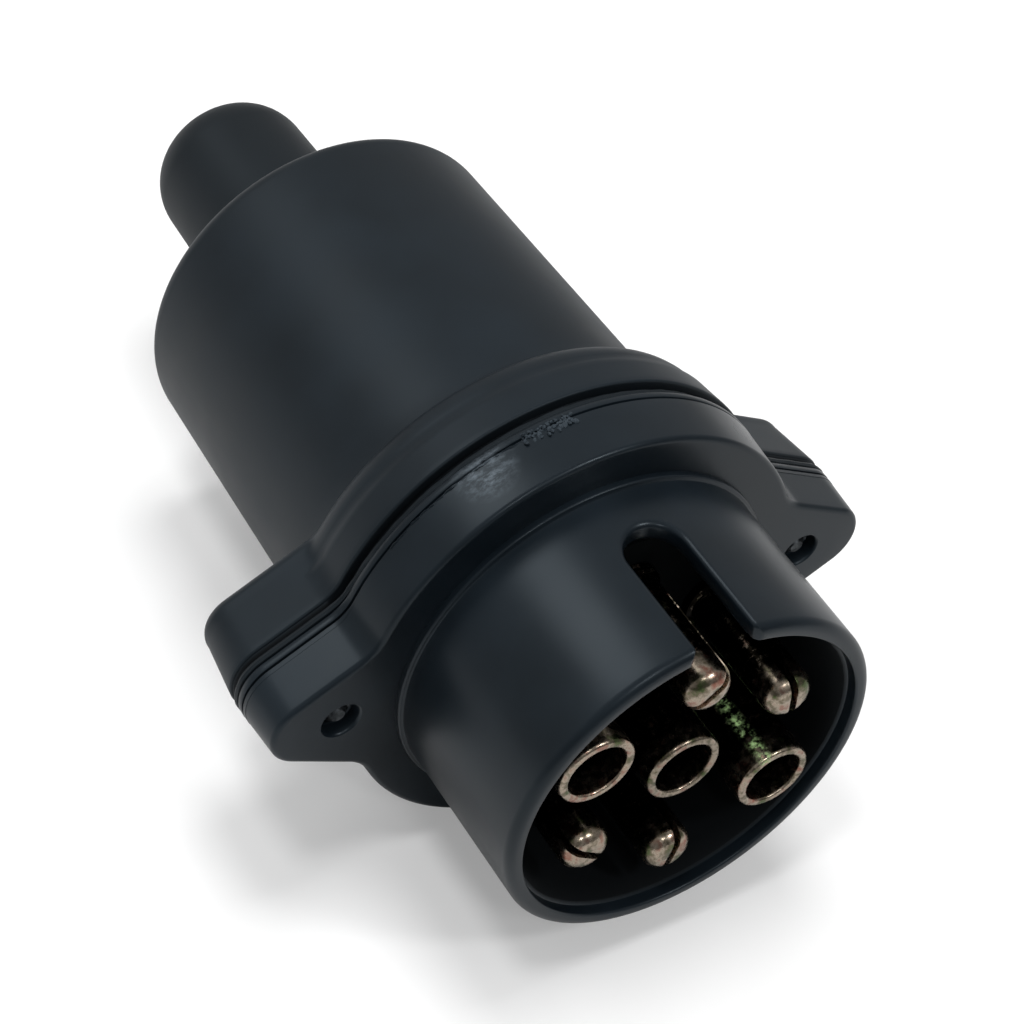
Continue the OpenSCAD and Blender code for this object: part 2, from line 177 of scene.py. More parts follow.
def add(tree, kind, settings=None, stops=(), **inputs):
    """Adds a node. An input is named in lower case, and the second of one name ends in _2.

    A colour ramp also takes its stops, each with its place and its colour's hex value.
    """
    made = tree.nodes.new(kind)
    for name, value in (settings or {}).items():
        setattr(made, name, value)
    if stops:
        marks = made.color_ramp.elements
        marks.remove(marks[1])
        for i, (at, code) in enumerate(stops):
            mark = marks.new(at) if i else marks[0]
            mark.position = at
            mark.color = colour(code)
    found = {}
    for socket in made.inputs:
        if socket.enabled:
            key = socket.name.lower().replace(" ", "_")
            while key in found:
                key = key[:-1] + str(int(key[-1]) + 1) if key[-2:-1] == "_" else key + "_2"
            found[key] = socket
    for key, value in inputs.items():
        if isinstance(value, bpy.types.NodeSocket):
            tree.links.new(value, found[key])
        else:
            found[key].default_value = value
    return made


def new_material(name):
    material = bpy.data.materials.new(name)
    material.use_nodes = True
    tree = material.node_tree
    tree.nodes.clear()
    place = add(tree, "ShaderNodeTexCoord").outputs["Object"]
    surface = add(tree, "ShaderNodeBsdfPrincipled")
    add(tree, "ShaderNodeOutputMaterial", surface=surface.outputs[0])
    return material, tree, place, surface


def per_mm(size):
    """The texture scale whose features are about this many millimetres."""
    return 1 / (size * MM)


WHITE = colour("#ffffff")
print("a mid grey of #808080 is linear", round(colour("#808080")[0], 3))


# %% [markdown]
# The shell and the cover are injection moulded ABS, dyed through in a cold black. The mould's fine
# spark-eroded grain spreads every reflection wide, so the plastic looks satin: dark where it faces
# the room, pale where it turns away from the eye. Two painted marks break the even black. Whitened
# streaks round one spot on the flange's side are partly scuffs from a knock and partly a painted
# highlight, and deep in the bore and in the seam the colour is painted near black and matt as shade.
# Both could be painted on an image, but noise and a distance need no image.

# %% Marks and dark places on plastic
def scuffs_and_painted_highlight(tree, place, base, at):
    """Lays streaks of whitened plastic over a colour round one spot, partly scuffs and partly a
    painted highlight.
    """
    away = add(tree, "ShaderNodeVectorMath", {"operation": "DISTANCE"}, vector=place,
               vector_2=Vector(at) * MM).outputs["Value"]
    near = add(tree, "ShaderNodeMapRange", value=away, from_min=1.0 * MM, from_max=3.8 * MM,
               to_min=1.0, to_max=0.0).outputs[0]
    drawn_out = add(tree, "ShaderNodeMapping", vector=place, rotation=(0, math.radians(-27), 0),
                    scale=(0.35, 1, 1)).outputs[0]
    streaks = add(tree, "ShaderNodeTexNoise", scale=per_mm(0.8), detail=6.0, roughness=0.75,
                  vector=drawn_out).outputs[0]
    mark = add(tree, "ShaderNodeMapRange", value=streaks, from_min=0.42, from_max=0.7).outputs[0]
    scuff_and_highlight = add(tree, "ShaderNodeMath", {"operation": "MULTIPLY"}, value=near, value_2=mark)
    # The pale streaks are partly scuffs and partly a painted highlight on the flange's side
    return add(tree, "ShaderNodeMix", {"data_type": "RGBA"}, factor=scuff_and_highlight.outputs[0], a=base,
               b=colour("#5c656d")).outputs["Result"]


def past_edge(tree, reach, edge):
    """0 inside an edge and 1 outside it, where reach is the distance that the edge limits."""
    return add(tree, "ShaderNodeMapRange", value=reach, from_min=(edge + 0.05) * MM,
               from_max=(edge + 0.4) * MM).outputs[0]


def outside_painted_shade(tree, place, shade_bore_r, shade_groove_y):
    """0 where shade is painted, in the shell's bore or at the cover's front end in the seam, and 1
    elsewhere.
    """
    if shade_groove_y:
        depth = add(tree, "ShaderNodeSeparateXYZ", vector=place).outputs[1]
        return past_edge(tree, depth, shade_groove_y)
    flat = add(tree, "ShaderNodeVectorMath", {"operation": "MULTIPLY"}, vector=place,
               vector_2=(1, 0, 1)).outputs[0]
    reach = add(tree, "ShaderNodeVectorMath", {"operation": "LENGTH"}, vector=flat)
    return past_edge(tree, reach.outputs["Value"], shade_bore_r)


# %% [markdown]
# One function makes every moulded finish. Slow clouds in the colour and the roughness keep a large
# face from looking flat. Real spark-eroded grain is near 0.05 mm, too fine to show, so it is drawn
# a few times coarser.

# %% Moulded plastic and rubber
def moulded(name, dark, light, rough, grain_mm=0.35, shine=0.5, shade_bore_r=None, shade_groove_y=None,
            scuff_and_highlight_at=None):
    material, tree, place, surface = new_material(name)
    cloud = add(tree, "ShaderNodeTexNoise", scale=per_mm(14), detail=4.0, vector=place).outputs[0]
    grain = add(tree, "ShaderNodeTexNoise", scale=per_mm(grain_mm), detail=2.0, vector=place)
    base = add(tree, "ShaderNodeValToRGB", stops=[(0.35, dark), (0.7, light)], fac=cloud).outputs[0]
    spread = add(tree, "ShaderNodeMapRange", value=cloud, from_min=0.3, from_max=0.7,
                 to_min=rough - 0.04, to_max=rough + 0.05).outputs[0]
    if scuff_and_highlight_at:
        base = scuffs_and_painted_highlight(tree, place, base, scuff_and_highlight_at)
    if shade_bore_r or shade_groove_y:
        unshaded = outside_painted_shade(tree, place, shade_bore_r, shade_groove_y)
        # Painted shade: near black and matt in the bore and in the seam
        base = add(tree, "ShaderNodeMix", {"data_type": "RGBA"}, factor=unshaded,
                   a=colour("#010102"), b=base).outputs["Result"]
        spread = add(tree, "ShaderNodeMix", {"data_type": "FLOAT"}, factor=unshaded, a=0.75,
                     b=spread).outputs["Result"]
    tree.links.new(base, surface.inputs["Base Color"])
    tree.links.new(spread, surface.inputs["Roughness"])
    bump = add(tree, "ShaderNodeBump", strength=0.12, distance=0.02 * MM, height=grain.outputs[0])
    tree.links.new(bump.outputs[0], surface.inputs["Normal"])
    surface.inputs["IOR"].default_value = 1.42
    surface.inputs["Specular IOR Level"].default_value = shine
    surface.inputs["Specular Tint"].default_value = colour("#dcebf5")
    return material


# %% The plug's plastics and rubbers
BORE_R, SEAM_BACK_Y = 19.3, 30.05
SCUFF_AND_HIGHLIGHT_AT = (-11.8, 26.9, 24.3)

# ABS from a smooth mould: a soft, clear highlight along the nose. Its bore is painted near black
# as shade, and streaks on the flange's side are partly scuffs and partly a painted highlight
front_abs = moulded("moulded_abs_front_shell", "#0b1116", "#141b21", 0.31, shade_bore_r=BORE_R,
                    scuff_and_highlight_at=SCUFF_AND_HIGHLIGHT_AT)
# ABS from a rougher mould: the highlight on the cylinder is broad and faint. In the seam at its
# front end it is painted near black as shade
cover_abs = moulded("moulded_abs_rear_cover", "#0b1116", "#141b21", 0.44,
                    shade_groove_y=SEAM_BACK_Y)
# Filled phenolic, dull as slate, coloured near black as painted shade deep in the mouth, where it
# hardly shows
insulator_in_painted_shade = moulded("moulded_phenolic_insulator", "#010202", "#030404", 0.75, shine=0.12)
# Rubber: the same black as the plastic, and more even
rubber = moulded("moulded_rubber", "#0b1014", "#12171b", 0.5, 0.25)
gasket_rubber = moulded("moulded_gasket_rubber", "#0b1014", "#12171b", 0.5, 0.25)
# ABS pales where it is torn, so the crumbs on the seam read as grey specks
whitened = moulded("stress_whitened_abs", "#1c2329", "#3c444b", 0.42)
print("plastics and rubber: 6 materials")


# %% [markdown]
# The contacts are turned brass under a thin plating. Air and damp have dulled it: a brownish grey
# film with pinkish bare spots and some green. A bright green streak on one sleeve is partly green
# salts and partly a painted highlight. Deeper in the mouth the barrels are painted near black as
# shade, which follows the depth and has gaps from a noise, so only the tips and rims still shine.

# %% Tarnished plated brass
GREEN_STREAK_AT = (10.2, 0, -2.9)


def painted_depth_shade(tree, place, flecks):
    """How much painted shade darkens the brass, from 0 to 1."""
    depth = add(tree, "ShaderNodeSeparateXYZ", vector=place).outputs[1]
    depth_shade = add(tree, "ShaderNodeMapRange", value=depth, from_min=1.1 * MM, from_max=4.2 * MM)
    gaps = add(tree, "ShaderNodeMapRange", value=flecks, from_min=0.54, from_max=0.64,
               to_min=1.0, to_max=0.45)
    # Behind the carrier the painted shade eases to a fifth
    behind_carrier = add(tree, "ShaderNodeMapRange", value=depth, from_min=20 * MM, from_max=24 * MM,
               to_min=1.0, to_max=0.2)
    mouth_shade = add(tree, "ShaderNodeMath", {"operation": "MULTIPLY"}, value=depth_shade.outputs[0],
                 value_2=behind_carrier.outputs[0])
    return add(tree, "ShaderNodeMath", {"operation": "MULTIPLY"}, value=mouth_shade.outputs[0],
               value_2=gaps.outputs[0]).outputs[0]


def green_salts_and_highlight(tree, place, flecks):
    """How much of the green streak lies there, partly salts and partly a painted highlight: a run
    along the upper side of the lower right sleeve.
    """
    flat = add(tree, "ShaderNodeVectorMath", {"operation": "MULTIPLY"}, vector=place,
               vector_2=(1, 0, 1)).outputs[0]
    away = add(tree, "ShaderNodeVectorMath", {"operation": "DISTANCE"}, vector=flat,
               vector_2=Vector(GREEN_STREAK_AT) * MM).outputs["Value"]
    run = add(tree, "ShaderNodeMapRange", value=away, from_min=0.2 * MM, from_max=1.1 * MM,
              to_min=1.0, to_max=0.0)
    streak_flecks = add(tree, "ShaderNodeMapRange", value=flecks, from_min=0.45, from_max=0.6)
    return add(tree, "ShaderNodeMath", {"operation": "MULTIPLY"}, value=run.outputs[0],
               value_2=streak_flecks.outputs[0]).outputs[0]


def plated():
    material, tree, place, surface = new_material("tarnished_plated_brass")
    patch = add(tree, "ShaderNodeTexNoise", scale=per_mm(1.7), detail=5.0, roughness=0.6,
                vector=place).outputs[0]
    flecks = add(tree, "ShaderNodeTexNoise", scale=per_mm(0.9), detail=5.0, roughness=0.7,
                 vector=place).outputs[0]
    smear = add(tree, "ShaderNodeTexNoise", scale=per_mm(0.7), detail=4.0, vector=place).outputs[0]
    wiped = add(tree, "ShaderNodeValToRGB", fac=patch, stops=[
        (0.34, "#55603f"), (0.43, "#7a705f"), (0.52, "#b0a392"), (0.6, "#9d8071"),
        (0.68, "#936455")]).outputs[0]
    # Painted shade: deeper in the mouth the brass darkens to near black, with gaps
    metal = add(tree, "ShaderNodeMix", {"data_type": "RGBA"}, factor=painted_depth_shade(tree, place, flecks),
                a=wiped, b=colour("#0c0a07")).outputs["Result"]
    green = green_salts_and_highlight(tree, place, flecks)
    # A bright green streak: green salts, painted bright as a highlight
    shade = add(tree, "ShaderNodeMix", {"data_type": "RGBA"}, factor=green, a=metal,
                b=colour("#bce49a"))
    tree.links.new(shade.outputs["Result"], surface.inputs["Base Color"])
    # The salts are a powder, so they lose the metal's mirror, and the streak's green shows bright as
    # a painted highlight
    bare = add(tree, "ShaderNodeMath", {"operation": "SUBTRACT"}, value=1.0, value_2=green)
    tree.links.new(bare.outputs[0], surface.inputs["Metallic"])
    spread = add(tree, "ShaderNodeMapRange", value=smear, from_min=0.3, from_max=0.7,
                 to_min=0.14, to_max=0.36)
    tree.links.new(spread.outputs[0], surface.inputs["Roughness"])
    bump = add(tree, "ShaderNodeBump", strength=0.35, distance=0.05 * MM, height=smear)
    tree.links.new(bump.outputs[0], surface.inputs["Normal"])
    return material


brass = plated()
print("brass:", len(brass.node_tree.nodes), "nodes")


# %% [markdown]
# The small screws are zinc plated steel, which looks pale grey with a faint cloudiness. The two ear
# screws are a darker, duller grey.

# %% Zinc plated steel, pale and dark
def zinc(name, dark, light, rough):
    material, tree, place, surface = new_material(name)
    grain = add(tree, "ShaderNodeTexNoise", scale=per_mm(0.6), detail=3.0, vector=place).outputs[0]
    shade = add(tree, "ShaderNodeValToRGB", stops=[(0.35, dark), (0.65, light)], fac=grain)
    tree.links.new(shade.outputs[0], surface.inputs["Base Color"])
    surface.inputs["Metallic"].default_value = 1.0
    surface.inputs["Roughness"].default_value = rough
    bump = add(tree, "ShaderNodeBump", strength=0.15, distance=0.02 * MM, height=grain)
    tree.links.new(bump.outputs[0], surface.inputs["Normal"])
    return material


steel = zinc("zinc_plated_steel", "#8d9092", "#b4b7b8", 0.36)
dark_steel = zinc("grimy_zinc_plated_steel", "#2a2d30", "#55595c", 0.5)
print("steels:", steel.name, "and", dark_steel.name)

# %% [markdown]
# ## The flange's outline
# Both flanges share one outline: a round disc with an ear on each side. Each ear is a tip arc, a
# straight flank and a blend into the disc. Set in by `d`, the arcs keep their centres, so outlines
# of different `d` match point for point and can be joined by `skin`. The disc can have a radius of
# its own, because the rear cover's ears stand taller than its disc.

# %% Outline of the flanges
FLANGE_R = 27.0
EAR_X, EAR_R, EAR_BLEND = 31.6, 5.0, 5.0
EAR_FLANK = 28.5  # degrees between an ear's straight flank and the X axis
SCREW_X = 28.4
TIP_STEPS, FLANK_STEPS, DISC_STEPS = 12, 10, 56


def quarter(d, disc):
    """The outline from the tip of an ear to the top of the disc, as (x, z) points."""
    flank = math.radians(EAR_FLANK)
    normal = 90 - EAR_FLANK
    off = EAR_X * math.sin(flank) + EAR_R + EAR_BLEND
    reach = math.sqrt((disc + EAR_BLEND + d) ** 2 - off ** 2)
    blend_x = off * math.sin(flank) + reach * math.cos(flank)
    blend_z = off * math.cos(flank) - reach * math.sin(flank)
    end = math.degrees(math.atan2(blend_z, blend_x))
    tip = arc(EAR_X, 0, EAR_R - d, EAR_R - d, 0, normal, TIP_STEPS)
    blend = arc(blend_x, blend_z, EAR_BLEND + d, EAR_BLEND + d, normal + 180, end + 180, TIP_STEPS)
    a, b = tip[-1], blend[0]
    line = [(a[0] + (b[0] - a[0]) * t / FLANK_STEPS, a[1] + (b[1] - a[1]) * t / FLANK_STEPS)
            for t in range(1, FLANK_STEPS)]
    return tip + line + blend + arc(0, 0, disc, disc, end, 90, DISC_STEPS)[1:]


def outline(d, disc=None):
    q = quarter(d, FLANGE_R - d if disc is None else disc)
    top = q + [(-x, z) for x, z in reversed(q[:-1])]
    return top + [(x, -z) for x, z in reversed(top[1:-1])]


print("points round a flange:", len(outline(0)))

# %% [markdown]
# Three kinds of loop come from the outline: the plain one at one level, one that goes from its
# round part to its ears at different depths, and a circle whose points stand at the angles of their
# partners, so that a round nose can grow out of a flange with ears.

# %% Loops from the outline
EARS_FROM_X, EARS_FULL_AFTER = 24.0, 2.0


def flange_loop(d, y):
    return [(x, y, z) for x, z in outline(d)]


def blended_loop(disc, ear):
    """A loop that follows one (d, y) round the disc and another round the ears."""
    loop = []
    for (x, z), (far_x, far_z) in zip(outline(disc[0]), outline(ear[0])):
        t = min(max((abs(x) - EARS_FROM_X) / EARS_FULL_AFTER, 0), 1)
        loop.append((x + (far_x - x) * t, disc[1] + (ear[1] - disc[1]) * t, z + (far_z - z) * t))
    return loop


def round_loop(r, y):
    loop = []
    for x, z in outline(1.0):
        s = r / math.hypot(x, z)
        loop.append((x * s, y, z * s))
    return loop


print("points round the nose:", len(round_loop(BORE_R, 0)))

# %% [markdown]
# ## Front shell
# One moulding: the nose, a raised ring at its root, and the flange with both ears. Its wall is a
# closed loop of profile points, from the bore round the rim of the mouth, along the nose, over the
# flange and back through the step that holds the contact carrier. A fine groove runs along the
# flange's side beside the seam, shallow on the disc and wider on the ears.

# %% Front shell
NOSE_R, NOSE_LEN = 21.6, 21.8
RELIEF, RIM_ROUND = 0.4, 1.1
DRAFT = 0.1  # the nose widens by this much towards its root, so that it leaves the mould
STRAIGHT = NOSE_LEN - 1.3 - RIM_ROUND
RING_R, RING_ROUND = 22.22, 0.3
SEAM_Y, SEAM_ROUND = 28.8, 0.4
STEP_R, STEP_Y = 20.6, 22.8
# The groove as pairs, for the disc and for the ears: how deep, and how far in front of the seam
GROOVE = [((0.05, 1.25), (0.05, 1.8)), ((0.3, 1.18), (0.9, 1.7)), ((0.3, 1.02), (0.9, 1.1)),
          ((0.05, 0.94), (0.05, 1.0)), ((0.0, 0.8), (0.0, 0.85)), ((0.02, 0.45), (0.02, 0.3))]


def front_shell():
    inside = [(BORE_R, y) for y in (STEP_Y, 18, 13, 8, 4, 1.9)]
    relief = [(BORE_R + 0.05, 1.65), (BORE_R + RELIEF, 1.4), (BORE_R + RELIEF, 0.6)]
    lip = arc(BORE_R + RELIEF + 0.3, 0.3, 0.3, 0.3, 180, 270, 4)
    rim = arc(NOSE_R - 0.05 - RIM_ROUND, RIM_ROUND, RIM_ROUND, RIM_ROUND, 270, 360, 10)
    nose = [(NOSE_R - 0.05 + DRAFT * i / 20, RIM_ROUND + STRAIGHT * i / 20) for i in range(1, 21)]
    root = [(NOSE_R + 0.12, NOSE_LEN - 0.9)]
    root += arc(RING_R - 0.02 - RING_ROUND, NOSE_LEN - 0.48, RING_ROUND, RING_ROUND, 270, 360, 8)
    loops = [round_loop(r, y) for r, y in inside + relief + lip + rim + nose + root]
    ring = round_loop(RING_R, NOSE_LEN)
    loops.append(ring)
    loops += between(ring, flange_loop(1.05, NOSE_LEN), (0.2, 0.5, 0.8, 1.0))
    side = arc(1.05, NOSE_LEN + 0.6, 0.65, 0.6, 270, 180, 8)[1:]
    side += [(0.4 - 0.35 * i / 6, NOSE_LEN + 0.6 + 5.1 * i / 6) for i in range(1, 7)]
    loops += [flange_loop(d, y) for d, y in side]
    for (d, ahead), (ear_d, ear_ahead) in GROOVE:
        loops.append(blended_loop((d, SEAM_Y - ahead), (ear_d, SEAM_Y - ear_ahead)))
    seam = arc(SEAM_ROUND + 0.02, SEAM_Y - SEAM_ROUND, SEAM_ROUND, SEAM_ROUND, 180, 90, 5)[2:]
    loops += [flange_loop(d, y) for d, y in seam]
    back = [(24, SEAM_Y), (STEP_R, SEAM_Y), (STEP_R, 26), (STEP_R, STEP_Y)]
    loops += [round_loop(r, y) for r, y in back]
    return new_object("front_shell_moulding", skin(loops, ring=True))


shell = front_shell()
print("front shell before its cuts:", len(shell.data.polygons), "faces")

# %% [markdown]
# The key slot and the ears' holes are cut out. A Bevel modifier can't round the slot's edge where
# it crosses the rim's own round, so the tool flares out at the nose's surfaces instead: its layers
# stand at growing radii, each with its own offset from the slot's outline.

# %% Key slot and screw holes
SLOT_HALF, SLOT_END_Y = 3.3, 12.8
SHANK_WAY_R, THREAD_WAY_R = 2.05, 1.8
# Each layer of the slot's tool: its radius, and how far it stands out from the slot
SLOT_LAYERS = [(17.8, 0.9), (19.1, 0.45), (19.35, 0.22), (19.6, 0.06), (19.9, 0), (20.95, 0),
               (21.2, 0.06), (21.4, 0.2), (21.55, 0.42), (21.7, 0.8), (22.5, 1.9)]


def slot_tool():
    loops = []
    for r, o in SLOT_LAYERS:
        half = SLOT_HALF + o
        ys = [-1.5, 0.0, 0.15, 0.35, 0.6, 0.9, 1.3, 2, 4, 6, 8, 10, 12]
        # The slot's corners at the mouth are rounded over the first 0.9 mm
        side = [(half + 0.9 * max(0, 1 - y / 0.9) ** 2, y) for y in ys]
        side[0] = (side[1][0] + 1.5, ys[0])
        path = side + arc(0, SLOT_END_Y, half, half, 0, 180, 24)
        path += [(-x, y) for x, y in reversed(side)]
        loops.append([(x, y, math.sqrt(r * r - x * x)) for x, y in path])
    return new_object("slot_tool", skin(loops))


def ear_hole_tool(side):
    """A hole with a broken edge, and a narrower one behind it that the thread bites into."""
    hole = [(0, -1.8), (3.0, -1.8), (2.5, -0.1), (2.2, 0.1), (2.08, 0.3), (SHANK_WAY_R, 1.6),
            (THREAD_WAY_R, 1.7), (THREAD_WAY_R, 8.2), (0, 8.2)]
    profile = [(r, NOSE_LEN + y) for r, y in hole]
    return new_object("hole_tool", turned(profile, 48, (side * SCREW_X, 0)))


cut(shell, [slot_tool(), ear_hole_tool(-1), ear_hole_tool(1)])
finish_piece(shell, front_abs, "plug", ["front_shell"])

# %% [markdown]
# ## Rear cover
# One moulding again. Its flange matches the front one and sits behind a rebate, which is deep round
# the disc and shallow on the ears. The ears end in a flat top that runs into the shoulder, and the
# long cylinder narrows a little towards the boot, as a mould must to let go of it. Where an ear
# meets the shoulder, `soft_max` takes the larger radius of the two with a small fillet.

# %% The cover's sizes and its shoulder
COVER_Y, EAR_T, SHOULDER_Y = 29.6, 9.5, 39.2
COVER_R, COVER_END_R, COVER_END_Y, END_ROUND = 22.95, 22.15, 81.5, 2.5
CYLINDER_Y = SHOULDER_Y + 0.25
CYLINDER_LEN = COVER_END_Y - END_ROUND - CYLINDER_Y
END_WALL_Y, BOOT_HOLE_R = 79.0, 8.05
CHAMBER_R, SPIGOT_R, SPIGOT_WALL, SPIGOT_Y = 20.05, 20.55, 1.15, 28.1
SHOULDER_SIDE = COVER_Y + 5.9
SHOULDER = [(FLANGE_R - 0.8, SHOULDER_SIDE - 3)] + arc(
    COVER_R + 0.3, SHOULDER_SIDE, FLANGE_R - COVER_R - 1.1, SHOULDER_Y - SHOULDER_SIDE - 0.2,
    0, 84, 20)


def shoulder_r(y):
    """The shoulder's radius at a level, or 0 in front of the shoulder."""
    for (r0, y0), (r1, y1) in zip(SHOULDER, SHOULDER[1:]):
        if y0 <= y <= y1:
            return r0 + (r1 - r0) * (y - y0) / (y1 - y0)
    return 0.0 if y < SHOULDER[0][1] else COVER_R + 0.1


def soft_max(a, b, k=0.5):
    h = max(k - abs(a - b), 0) / k
    return max(a, b) + h * h * k / 4


print("shoulder's radius 5 mm behind the flange's front:", round(shoulder_r(COVER_Y + 5), 2))


# %% Rear cover
def ear_loop(d, y):
    """The flange's outline at one level, swelled out to the shoulder where that is larger."""
    reach = shoulder_r(y)
    disc = min(FLANGE_R - d, reach - 0.4) if y > SHOULDER_SIDE - 1 else None
    loop = []
    for x, z in outline(d, disc):
        r = math.hypot(x, z)
        s = soft_max(r, reach) / r if reach else 1.0
        loop.append((x * s, y, z * s))
    return loop


def rear_cover():
    rebate = [((1.3, COVER_Y), (0.5, COVER_Y)), ((1.3, COVER_Y + 0.55), (0.5, COVER_Y + 0.3)),
              ((1.2, COVER_Y + 0.65), (0.45, COVER_Y + 0.34))]
    ear = arc(0.3, COVER_Y + 1.02, 0.3, 0.3, 265, 180, 6)
    ear += [(0.7 * i / 10, COVER_Y + 1.06 + 6.4 * i / 10) for i in range(1, 11)]
    ear += arc(2.4, COVER_Y + EAR_T - 1.7, 1.7, 1.7, 176, 90, 12)
    loops = [blended_loop(disc, ears) for disc, ears in rebate] + [ear_loop(d, y) for d, y in ear]
    top = ear[-1][1]
    loops += between(loops[-1], round_loop(COVER_R + 0.16, top), (0.25, 0.5, 0.75, 0.9, 1.0))
    rest = [(COVER_R + 0.05, top + 0.12), (COVER_R, top + 0.35)]
    rest += [(COVER_R + (COVER_END_R - COVER_R) * i / 16, CYLINDER_Y + CYLINDER_LEN * i / 16)
             for i in range(1, 17)]
    rest += arc(COVER_END_R - END_ROUND, COVER_END_Y - END_ROUND, END_ROUND, END_ROUND, 0, 90,
                14)[1:]
    rest += [(15, COVER_END_Y), (BOOT_HOLE_R, COVER_END_Y), (BOOT_HOLE_R, END_WALL_Y)]
    rest += [(CHAMBER_R, END_WALL_Y), (CHAMBER_R, 60), (CHAMBER_R, COVER_Y + 0.1)]
    rest += [(SPIGOT_R - SPIGOT_WALL, COVER_Y), (SPIGOT_R - SPIGOT_WALL, SPIGOT_Y)]
    rest += [(SPIGOT_R, SPIGOT_Y), (SPIGOT_R, COVER_Y)]
    loops += [round_loop(r, y) for r, y in rest]
    return new_object("rear_cover_moulding", skin(loops, ring=True))


WELL_R, WELL_Y = 3.7, 36.0


def ear_well_tool(side):
    """The shank's way, the well that holds the screw's head, and a broken edge at its mouth."""
    top = COVER_Y + EAR_T
    profile = [(0, 28), (SHANK_WAY_R, 28), (SHANK_WAY_R, WELL_Y), (WELL_R, WELL_Y)]
    profile += [(WELL_R, top - 0.4), (WELL_R + 0.08, top - 0.15), (WELL_R + 0.3, top + 0.05),
                (WELL_R + 0.6, top + 2.9), (0, top + 2.9)]
    return new_object("well_tool", turned(profile, 64, (side * SCREW_X, 0)))


cover = rear_cover()
cut(cover, [ear_well_tool(-1), ear_well_tool(1)])
finish_piece(cover, cover_abs, "plug", ["rear_cover"])

# %% [markdown]
# ## Gasket
# A rubber sheet cut to the flange's outline, nearly flush with the ears and set back round the disc.
# The screws squeeze it, so its edge swells and wavers a little where it shows in the seam. A
# smooth noise moves the loops' points, which keeps the sheet closed.

# %% Flange gasket
GASKET_HOLE_R = 20.7
# The edge from front to back: how far it is set in, and its level
SWELL = ((0.7, SEAM_Y), (0.45, SEAM_Y + 0.1), (0.35, SEAM_Y + 0.4), (0.45, COVER_Y - 0.1),
         (0.7, COVER_Y))
EARS_PROUD = 0.4  # how much further out the sheet's edge lies on the ears
WAVER = 0.1


def gasket():
    loops = [round_loop(GASKET_HOLE_R, y) for y in (COVER_Y, SEAM_Y)]
    for d, y in SWELL:
        loop = []
        for x, level, z in blended_loop((d, y), (d - EARS_PROUD, y)):
            s = 1 + WAVER * noise.noise(Vector((x, y, z)) * 0.7) / math.hypot(x, z)
            loop.append((x * s, level, z * s))
        loops.append(loop)
    return new_object("gasket_sheet", skin(loops, ring=True))


def gasket_hole_tool(side):
    profile = [(0, 28), (SHANK_WAY_R, 28), (SHANK_WAY_R, 31), (0, 31)]
    return new_object("hole_tool", turned(profile, 48, (side * SCREW_X, 0)))


seal = gasket()
cut(seal, [gasket_hole_tool(-1), gasket_hole_tool(1)])
finish_piece(seal, gasket_rubber, "plug", ["flange_gasket"])

# %% [markdown]
# ## Cable boot
# A turned rubber part: an inner flange holds it in the cover's end wall, and its soft lip grips
# the cable. Its outside narrows slowly and then rounds over in an ellipse to the cable's hole.

# %% Cable boot
BOOT_ROOT_R, BOOT_END_R, BOOT_END_Y, BOOT_ROUND = 10.1, 9.65, 109.5, 6.2
BOOT_Y = COVER_END_Y + 0.2
BOOT_LEN = BOOT_END_Y - BOOT_ROUND - BOOT_Y
INNER_FLANGE_R, NECK_R, CAVITY_R, CABLE_HOLE_R = 10.4, 8.0, 6, 4.2


def boot():
    profile = [(CAVITY_R, END_WALL_Y - 2), (INNER_FLANGE_R, END_WALL_Y - 2)]
    profile += [(INNER_FLANGE_R, END_WALL_Y), (NECK_R, END_WALL_Y), (NECK_R, COVER_END_Y - 0.1)]
    profile += [(BOOT_ROOT_R - 0.2, COVER_END_Y), (BOOT_ROOT_R, BOOT_Y)]
    profile += [(BOOT_ROOT_R + (BOOT_END_R - BOOT_ROOT_R) * i / 14, BOOT_Y + BOOT_LEN * i / 14)
                for i in range(1, 15)]
    profile += arc(CABLE_HOLE_R + 0.25, BOOT_END_Y - BOOT_ROUND, BOOT_END_R - CABLE_HOLE_R - 0.25,
                   BOOT_ROUND, 0, 90, 24)[1:]
    profile += [(CABLE_HOLE_R + 0.08, BOOT_END_Y - 0.07), (CABLE_HOLE_R, BOOT_END_Y - 0.25),
                (CABLE_HOLE_R, BOOT_END_Y - 12.5), (CAVITY_R, BOOT_END_Y - 15.5)]
    return new_object("cable_boot_sleeve", turned(profile, ring=True))


finish_piece(boot(), rubber, "plug", ["cable_boot"])

# %% [markdown]
# ## Contacts
# Pins are turned brass, domed at the tip and sawn down the middle, so that their halves can
# spring. Sleeves are tubes with a rounded rim. Behind the carrier both end in the same barrel for
# a wire. A Bevel modifier breaks the sawn edges, which otherwise catch no light.

# %% Sizes of the contacts
# Each pin: its angle from the top, its distance from the middle, and its saw cut's angle
PINS = {"pin_top": (0, 12.8, 40), "pin_upper_right": (60, 12.8, 95),
        "pin_bottom": (180, 12.8, 75), "pin_lower_left": (240, 12.8, -35)}
